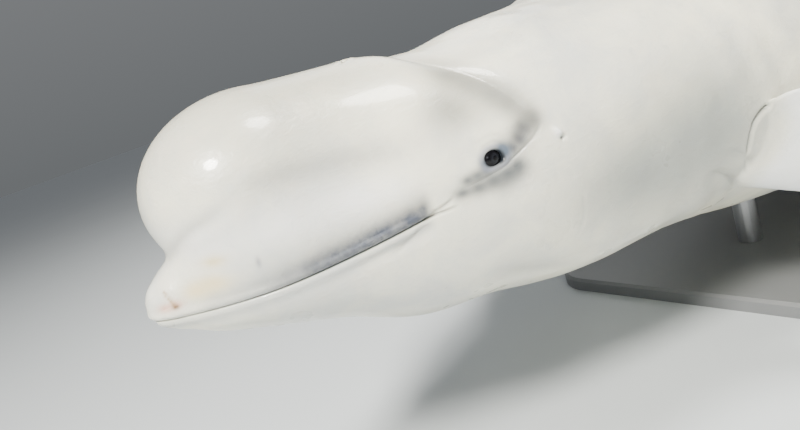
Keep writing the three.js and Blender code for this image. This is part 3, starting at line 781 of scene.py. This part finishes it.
def shape_skin(obj):
    """Moves the joined skin along its normals and stores where folds, lips and lids lie."""
    co = coordinates(obj)
    normals = np.empty(len(co) * 3)
    obj.data.vertices.foreach_get("normal", normals)
    normals = normals.reshape(-1, 3)
    straight = from_frame(co)
    mirrored = straight.copy()
    mirrored[:, 1] = np.abs(mirrored[:, 1])
    on_body = np.abs(body_field(*straight.T)) < 3
    moved = np.zeros(len(co))
    fold_shade = np.zeros(len(co))

    for line, depth, width, step, start, end in FOLDS:
        far = 3.5 * width + 20
        index, distance, side, along = near_line(mirrored, line, far)
        fade = fade_ends(along, start, end)
        pull = fade * bell(distance, 0, width)
        across = side * distance * np.sign(step or 1)
        lower = fade * smooth_step(-0.5 * width, 0.5 * width, -across) * np.exp(-np.maximum(-across, 0) / 9)
        lower *= 1 - smooth_step(2 * width + 14, far, distance)
        moved[index] -= abs(step) * lower + depth * pull
        # painted shade in each fold, darker the deeper and narrower it is
        sharp = min(1.0, depth / 4) * min(1.0, 14 / width)
        fold_shade[index] = np.maximum(fold_shade[index], pull * sharp)

    head = np.flatnonzero(straight[:, 0] < HEAD_END)
    side_points = straight[head]
    beside = beside_mask(mirrored[head, 1])
    moved[head] += mouth_relief(side_points)
    moved[head] += beside * eye_relief(side_points)
    moved[head] += beside * ear_relief(side_points)
    moved[head] += blowhole_relief(side_points)
    moved += ridge_relief(straight)
    moved += np.where(on_body, body_relief(straight), 0)

    # distance above the mouth line, far from it behind the head
    d = np.full(len(co), 999.0)
    d[head] = side_points[:, 2] - mouth_level(side_points[:, 0])
    x = straight[:, 0]
    reach = 1 - smooth_step(MOUTH["corner_x"] - 5, MOUTH["corner_x"] + 12, x)
    attribute(obj, "fold", fold_shade)
    attribute(obj, "mouth_line", reach * bell(d, 0, 0.9) * (0.45 + 0.55 * smooth_step(40, 220, x)))
    # the band above the mouth line: partly the lip's blue-grey, partly painted shade where the upper lip
    # turns down to the mouth
    shade = smooth_step(-1, 1, d) * bell(np.maximum(d, 10), 10, 16)
    attribute(obj, "lip", reach * shade * (0.35 * smooth_step(0, 60, x) + 0.65 * smooth_step(60, 180, x)))
    fin = smooth_step(3, 16, np.abs(body_field(*straight.T)))
    fin *= smooth_step(FLIPPER_STRETCH[0], FLIPPER_STRETCH[0] + 60, x) * (x < FLIPPER_END)
    attribute(obj, "fin", fin)
    # painted shadow of the upper lip on the jaw below the mouth line
    attribute(obj, "lower_lip_shadow", reach * bell(d, -8, 8))
    p, q, share = eye_offsets(straight)
    near_eye = np.where(x < HEAD_END, beside_mask(mirrored[:, 1]), 0)
    attribute(obj, "eye_ring", near_eye * bell(share, 1.45, 0.42))
    attribute(obj, "eye_rim", near_eye * bell(np.maximum(share, 1.06), 1.06, 0.2))
    patch = 1.3 * bell(p, 13, 8.5) * bell(q, 5, 10) + 0.8 * bell(p, -13, 6) * bell(q, -1, 7)
    attribute(obj, "eye_patch", near_eye * np.clip(patch, 0, 1))
    for marks, places in ((MARKS, straight), (PAIRED_MARKS, mirrored)):
        for name, spots in marks.items():
            amount = np.zeros(len(co))
            for spot in spots:
                offset = (places - spot[:3]) / spot[3:]
                amount = 1 - (1 - amount) * (1 - np.exp(-(offset**2).sum(1)))
            attribute(obj, name, amount)
    set_coordinates(obj, co + normals * (moved * METRE)[:, None])


def beside_mask(distance):
    """One beside the head and zero at its middle, so that what lies above isn't taken for the eye's side."""
    return smooth_step(20, 60, distance)


def make_skin():
    """The whole skin in one mesh: trunk, flippers and flukes, joined, rounded and given its fine form."""
    skin = trunk_object()
    outward_facing(skin)
    for side, name in SIDES:
        for rows, part in ((flipper_rows(side), "flipper"), (fluke_rows(side), "fluke")):
            fin = loft_object(f"{part}_{name}_form", rows)
            outward_facing(fin)
            join(skin, fin)
    round_joints(skin, *FLIPPER_STRETCH, reach=13.0, rounds=12)
    round_joints(skin, *FLUKE_STRETCH, reach=34.0, rounds=40)
    shape_skin(skin)
    skin.data.polygons.foreach_set("use_smooth", np.ones(len(skin.data.polygons), bool))
    return skin


# Eyes

def make_eye(side):
    """An eyeball with a bulging cornea; its own axes are (x, out, z) about its centre."""
    centre = skin_at(EYE["x"], EYE["z"], side) - np.array([0, side * EYE["sunk"], 0])
    rows, count = 48, 64
    polar = np.linspace(0.02, math.pi - 0.02, rows)
    turn = 2 * math.pi * np.arange(count) / count
    bulge = 0.5 * np.exp(-(polar / 0.42) ** 2)
    radius = EYE["radius"] - 0.3 + bulge
    ring = radius * np.sin(polar)
    points = np.stack([
        ring[:, None] * np.cos(turn),
        np.repeat((side * radius * np.cos(polar))[:, None], count, 1),
        ring[:, None] * np.sin(turn),
    ], -1)
    name = "left" if side < 0 else "right"
    eyeball = loft_object(f"eyeball_{name}", points + centre)
    outward_facing(eyeball)
    attribute(eyeball, "iris", np.concatenate([np.repeat(polar, count), [0, math.pi]]))
    return eyeball


# Materials

class Nodes:
    """A small helper for building a material's nodes."""

    def __init__(self, name):
        self.material = bpy.data.materials.new(name)
        self.material.use_nodes = True
        self.tree = self.material.node_tree
        self.tree.nodes.clear()
        self.output = self.add("ShaderNodeOutputMaterial")
        self.shader = self.add("ShaderNodeBsdfPrincipled")
        self.link(self.shader.outputs[0], self.output.inputs["Surface"])

    def add(self, kind, **settings):
        node = self.tree.nodes.new(kind)
        for key, value in settings.items():
            setattr(node, key, value)
        return node

    def link(self, source, target):
        self.tree.links.new(source, target)

    def feed(self, socket, value):
        if isinstance(value, bpy.types.NodeSocket):
            self.link(value, socket)
        else:
            socket.default_value = value

    def math(self, operation, a, b=0.0, clamp=False):
        node = self.add("ShaderNodeMath", operation=operation, use_clamp=clamp)
        self.feed(node.inputs[0], a)
        self.feed(node.inputs[1], b)
        return node.outputs[0]

    def mix(self, share, a, b, blend="MIX"):
        node = self.add("ShaderNodeMix", data_type="RGBA", blend_type=blend)
        self.feed(node.inputs[0], share)
        self.feed(node.inputs[6], a)
        self.feed(node.inputs[7], b)
        return node.outputs[2]

    def attribute(self, name):
        return self.add("ShaderNodeAttribute", attribute_name=name).outputs["Fac"]

    def painted(self, colour, paints):
        """The colour with each paint laid over it in turn."""
        for name, strength, paint in paints:
            amount = self.math("MULTIPLY", self.attribute(name), strength, True)
            colour = self.mix(amount, colour, paint)
        return colour

    def ramp(self, value, *stops):
        node = self.add("ShaderNodeValToRGB")
        elements = node.color_ramp.elements
        while len(elements) < len(stops):
            elements.new(0.5)
        for element, (place, colour) in zip(elements, stops):
            element.position = place
            element.color = colour if len(colour) == 4 else (*colour, 1)
        self.feed(node.inputs[0], value)
        return node.outputs[0]

    def scaled(self, source, scale):
        node = self.add("ShaderNodeMapping")
        self.link(source, node.inputs["Vector"])
        node.inputs["Scale"].default_value = scale
        return node.outputs[0]

    def noise(self, vector, scale, detail=3.0, roughness=0.5, distortion=0.0):
        node = self.add("ShaderNodeTexNoise")
        self.link(vector, node.inputs["Vector"])
        node.inputs["Scale"].default_value = scale
        node.inputs["Detail"].default_value = detail
        node.inputs["Roughness"].default_value = roughness
        node.inputs["Distortion"].default_value = distortion
        return node.outputs["Fac"]

    def bump(self, height, strength, distance, normal=None):
        node = self.add("ShaderNodeBump")
        self.feed(node.inputs["Height"], height)
        node.inputs["Strength"].default_value = strength
        node.inputs["Distance"].default_value = distance
        if normal is not None:
            self.link(normal, node.inputs["Normal"])
        return node.outputs[0]


def grey(value):
    return (value, value, value, 1)


# Paints over the skin's ground colour, in order: the attribute that says where, the strength and the colour
BROAD_PAINTS = (
    # the melon's own warmer tone with painted shade
    ("melon_tone_and_shade", 0.7, (0.44, 0.425, 0.34, 1)),
    # painted light on the upper lip's swelling
    ("swelling", 0.7, (0.89, 0.88, 0.86, 1)),
)
# painted shade in the folds
FOLD_SHADE_PAINT = ("fold", 0.7, (0.23, 0.225, 0.215, 1))
# the lip's blue-grey with painted shade over it
LIP_PIGMENT_AND_SHADE = (0.055, 0.062, 0.085, 1)
MARK_PAINTS = (
    # painted shadow under the mouth line
    ("lower_lip_shadow", 0.5, (0.36, 0.38, 0.38, 1)),
    ("hollow", 0.9, (0.085, 0.088, 0.10, 1)),
    ("under", 0.88, (0.075, 0.085, 0.095, 1)),
    # painted shade before the neck's crease
    ("hood_shade", 0.8, (0.235, 0.235, 0.205, 1)),
    # painted shade on the flank
    ("flank_shade", 0.82, (0.19, 0.215, 0.21, 1)),
    ("fin", 0.85, (0.90, 0.91, 0.89, 1)),
    ("yellow", 0.8, (0.74, 0.61, 0.33, 1)),
    ("graze", 0.85, (0.62, 0.38, 0.30, 1)),
    ("fleck", 0.85, (0.30, 0.30, 0.32, 1)),
    ("streak", 0.95, (0.36, 0.25, 0.14, 1)),
    ("scuff", 1.0, (0.15, 0.085, 0.03, 1)),
    # painted highlight on the ear's swelling
    ("ear_bump_highlight", 0.8, (0.93, 0.93, 0.92, 1)),
    # painted shade in the ear's pit
    ("pit", 0.8, (0.16, 0.17, 0.17, 1)),
    ("eye_ring", 0.8, (0.24, 0.25, 0.30, 1)),
    ("eye_patch", 0.9, (0.085, 0.115, 0.155, 1)),
    ("eye_rim", 1.0, (0.02, 0.024, 0.03, 1)),
    ("mouth_line", 0.85, (0.035, 0.045, 0.05, 1)),
)


def skin_material():
    n = Nodes("beluga_skin")
    place = n.add("ShaderNodeTexCoord").outputs["Object"]
    cream = (0.86, 0.83, 0.67, 1)
    cool = (0.52, 0.54, 0.535, 1)
    warm = (0.74, 0.64, 0.52, 1)

    broad = n.noise(place, 3.2, 4, 0.55)
    cloudy = n.noise(place, 13, 4, 0.6, 0.5)
    patches = n.ramp(n.math("ADD", n.math("MULTIPLY", broad, 0.6), n.math("MULTIPLY", cloudy, 0.4)),
                     (0.42, grey(0)), (0.62, grey(1)))
    colour = n.mix(n.math("MULTIPLY", patches, 0.7), cream, cool)
    # the melon's tone with painted shade, then painted light on the upper lip's swelling
    colour = n.painted(colour, BROAD_PAINTS)
    fine = n.noise(place, 26, 5, 0.6)
    blush = n.ramp(fine, (0.52, grey(0)), (0.74, grey(1)))
    colour = n.mix(n.math("MULTIPLY", blush, 0.22), colour, warm)

    # old scratches run mostly along the body
    streaks = n.noise(n.scaled(place, (6, 46, 46)), 3.0, 4, 0.65, 0.4)
    scratch = n.ramp(streaks, (0.635, grey(0)), (0.66, grey(1)), (0.70, grey(0)))
    colour = n.mix(n.math("MULTIPLY", scratch, 0.16), colour, (0.50, 0.49, 0.47, 1))

    # painted shade in the folds and creases
    colour = n.painted(colour, [FOLD_SHADE_PAINT])
    # the lip's blue-grey and painted shade above the mouth line
    mottle = n.ramp(n.noise(place, 60, 4, 0.6), (0.3, grey(0.82)), (0.62, grey(1)))
    lip = n.math("MULTIPLY", n.math("MULTIPLY", n.attribute("lip"), mottle), 1.0, True)
    colour = n.mix(lip, colour, LIP_PIGMENT_AND_SHADE)
    # stains, scuffs and the eye's colours, with painted shade in the hollows, under the folds, before the
    # neck's crease, on the flank, under the mouth line and in the ear's pit, and a painted highlight on the
    # ear's swelling
    colour = n.painted(colour, MARK_PAINTS)

    s = n.shader
    n.link(colour, s.inputs["Base Color"])
    wet = n.noise(place, 9, 4, 0.6)
    rough = n.math("ADD", n.math("MULTIPLY", wet, 0.24), 0.18)
    n.link(rough, s.inputs["Roughness"])
    s.inputs["IOR"].default_value = 1.42
    s.inputs["Coat Weight"].default_value = 0.38
    s.inputs["Coat Roughness"].default_value = 0.1
    s.inputs["Subsurface Weight"].default_value = 0.12
    s.inputs["Subsurface Radius"].default_value = (0.012, 0.008, 0.006)
    s.inputs["Subsurface Scale"].default_value = 1.0

    pores = n.noise(place, 420, 3, 0.6)
    creases = n.noise(n.scaled(place, (1.0, 1.6, 1.6)), 70, 5, 0.62, 0.6)
    normal = n.bump(pores, 0.10, 0.001)
    normal = n.bump(creases, 0.26, 0.003, normal)
    normal = n.bump(streaks, 0.10, 0.004, normal)
    n.link(normal, s.inputs["Normal"])
    return n.material


def eye_material():
    n = Nodes("beluga_eye")
    polar = n.attribute("iris")
    # near-black iris; the slightly lighter ring just outside the pupil is a painted glint
    iris = n.ramp(
        polar,
        (0.0, (0.004, 0.004, 0.005)),
        (0.15, (0.004, 0.004, 0.005)),
        (0.19, (0.010, 0.011, 0.014)),
        (0.32, (0.006, 0.006, 0.008)),
        (0.42, (0.002, 0.002, 0.003)),
        (0.70, (0.006, 0.006, 0.007)),
    )
    place = n.add("ShaderNodeTexCoord").outputs["Object"]
    fleck = n.noise(place, 900, 3, 0.6)
    colour = n.mix(n.math("MULTIPLY", fleck, 0.08), iris, (0.015, 0.015, 0.018, 1))
    n.link(colour, n.shader.inputs["Base Color"])
    n.link(n.math("ADD", n.math("MULTIPLY", fleck, 0.08), 0.05), n.shader.inputs["Roughness"])
    n.shader.inputs["Specular IOR Level"].default_value = 0.14
    n.shader.inputs["Coat Weight"].default_value = 0.1
    n.shader.inputs["Coat Roughness"].default_value = 0.02
    return n.material


def stand_material():
    n = Nodes("stand_paint")
    place = n.add("ShaderNodeTexCoord").outputs["Object"]
    cloud = n.noise(place, 7, 5, 0.6)
    colour = n.mix(cloud, (0.16, 0.165, 0.17, 1), (0.20, 0.205, 0.21, 1))
    n.link(colour, n.shader.inputs["Base Color"])
    n.link(n.math("ADD", n.math("MULTIPLY", cloud, 0.15), 0.38), n.shader.inputs["Roughness"])
    n.shader.inputs["Metallic"].default_value = 0.0
    n.link(n.bump(n.noise(place, 900, 2, 0.5), 0.12, 0.0008), n.shader.inputs["Normal"])
    return n.material


def steel_material():
    n = Nodes("brushed_rod")
    place = n.add("ShaderNodeTexCoord").outputs["Object"]
    brushed = n.noise(n.scaled(place, (1, 1, 60)), 30, 4, 0.6)
    colour = n.mix(brushed, (0.46, 0.47, 0.48, 1), (0.60, 0.61, 0.62, 1))
    n.link(colour, n.shader.inputs["Base Color"])
    n.shader.inputs["Metallic"].default_value = 1.0
    n.link(n.math("ADD", n.math("MULTIPLY", brushed, 0.2), 0.26), n.shader.inputs["Roughness"])
    n.link(n.bump(brushed, 0.08, 0.0005), n.shader.inputs["Normal"])
    return n.material


def stage_material():
    n = Nodes("studio_floor")
    place = n.add("ShaderNodeTexCoord").outputs["Object"]
    cloud = n.noise(place, 0.8, 3, 0.5)
    n.link(n.mix(cloud, (0.52, 0.55, 0.57, 1), (0.55, 0.58, 0.60, 1)), n.shader.inputs["Base Color"])
    n.shader.inputs["Roughness"].default_value = 0.7
    return n.material


# Building the model

FLESH = (
    "melon", "head", "lower_jaw", "neck", "chest", "abdomen", "tail_stock", "dorsal_ridge",
    "flipper_left", "flipper_right", "fluke_left", "fluke_right",
)

skin = make_skin()
skin.data.materials.clear()
skin.data.materials.append(skin_material())
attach(skin, "root")
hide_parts(*FLESH)

eye_look = eye_material()
for side, name in SIDES:
    eyeball = make_eye(side)
    eyeball.data.materials.append(eye_look)
    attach(eyeball, "root")
    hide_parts(f"eye_{name}")

paint = stand_material()
steel = steel_material()
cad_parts["stand_base"].data.materials.clear()
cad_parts["stand_base"].data.materials.append(paint)
for name in ("stand_rod_front", "stand_rod_rear"):
    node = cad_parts[name]
    node.data.materials.clear()
    node.data.materials.append(steel)


# Stage, lights and camera

def add_area_light(name, place, target, size, power, colour):
    light = bpy.data.lights.new(name, "AREA")
    light.shape = "DISK"
    light.size = size
    light.energy = power
    light.color = colour
    obj = bpy.data.objects.new(name, light)
    obj.location = place
    obj.rotation_euler = (Vector(target) - Vector(place)).to_track_quat("-Z", "Y").to_euler()
    bpy.context.scene.collection.objects.link(obj)


FLOOR_REACH = 60.0
corners = [(-1, -1, 0), (1, -1, 0), (1, 1, 0), (-1, 1, 0)]
floor = new_mesh_object("studio_floor", FLOOR_REACH * np.array(corners, float), [[0, 1, 2, 3]])
floor.data.materials.append(stage_material())

HEAD_AT = Vector((-1.65, -0.02, 0.55))
# Each light: its name, place, what it shines at, size, power and colour
LIGHTS = (
    ("key", (-3.65, -1.4, 2.9), HEAD_AT, 0.7, 380, (1.0, 0.97, 0.89)),
    ("fill", (-3.0, -3.2, 1.5), HEAD_AT, 0.8, 10, (0.88, 0.94, 1.0)),
    ("body", (-0.6, -1.2, 4.8), (0.0, 0, 0.5), 1.3, 290, (1.0, 0.985, 0.93)),
    ("rim", (1.6, 3.0, 3.2), (-0.4, 0, 0.5), 2.6, 34, (0.95, 0.98, 1.0)),
)
for light in LIGHTS:
    add_area_light(*light)

SKY_STRENGTH = 0.30
SKY_AT_HORIZON = (0.50, 0.53, 0.55, 1)
SKY_OVERHEAD = (0.95, 0.97, 1.0, 1)

world = bpy.data.worlds.new("studio")
bpy.context.scene.world = world
world.use_nodes = True
sky = world.node_tree
background = sky.nodes["Background"]
background.inputs["Strength"].default_value = SKY_STRENGTH
# the sky takes the floor's grey at the horizon and is lighter overhead
direction = sky.nodes.new("ShaderNodeTexCoord").outputs["Generated"]
height = sky.nodes.new("ShaderNodeSeparateXYZ")
sky.links.new(direction, height.inputs[0])
shades = sky.nodes.new("ShaderNodeValToRGB")
shades.color_ramp.elements[0].position = 0.0
shades.color_ramp.elements[0].color = SKY_AT_HORIZON
shades.color_ramp.elements[1].position = 0.7
shades.color_ramp.elements[1].color = SKY_OVERHEAD
sky.links.new(height.outputs["Z"], shades.inputs[0])
sky.links.new(shades.outputs[0], background.inputs["Color"])


def camera_matrix():
    forward = Vector((
        -math.sin(CAMERA_AZIMUTH) * math.cos(CAMERA_ELEVATION),
        math.cos(CAMERA_AZIMUTH) * math.cos(CAMERA_ELEVATION),
        -math.sin(CAMERA_ELEVATION),
    ))
    level_right = forward.cross(Vector((0, 0, 1))).normalized()
    level_up = level_right.cross(forward)
    right = level_right * math.cos(CAMERA_ROLL) + level_up * math.sin(CAMERA_ROLL)
    up = right.cross(forward)
    matrix = Matrix((right, up, -forward)).transposed().to_4x4()
    matrix.translation = Vector((np.array(CAMERA_PLACE) + SHIFT) * METRE)
    return matrix


camera_data = bpy.data.cameras.new("camera")
camera_data.sensor_width = SENSOR
camera_data.lens = FOCAL_PIXELS / IMAGE_WIDTH * SENSOR
camera_data.clip_start = 0.02
camera = bpy.data.objects.new("camera", camera_data)
camera.matrix_world = camera_matrix()
bpy.context.scene.collection.objects.link(camera)
bpy.context.scene.camera = camera
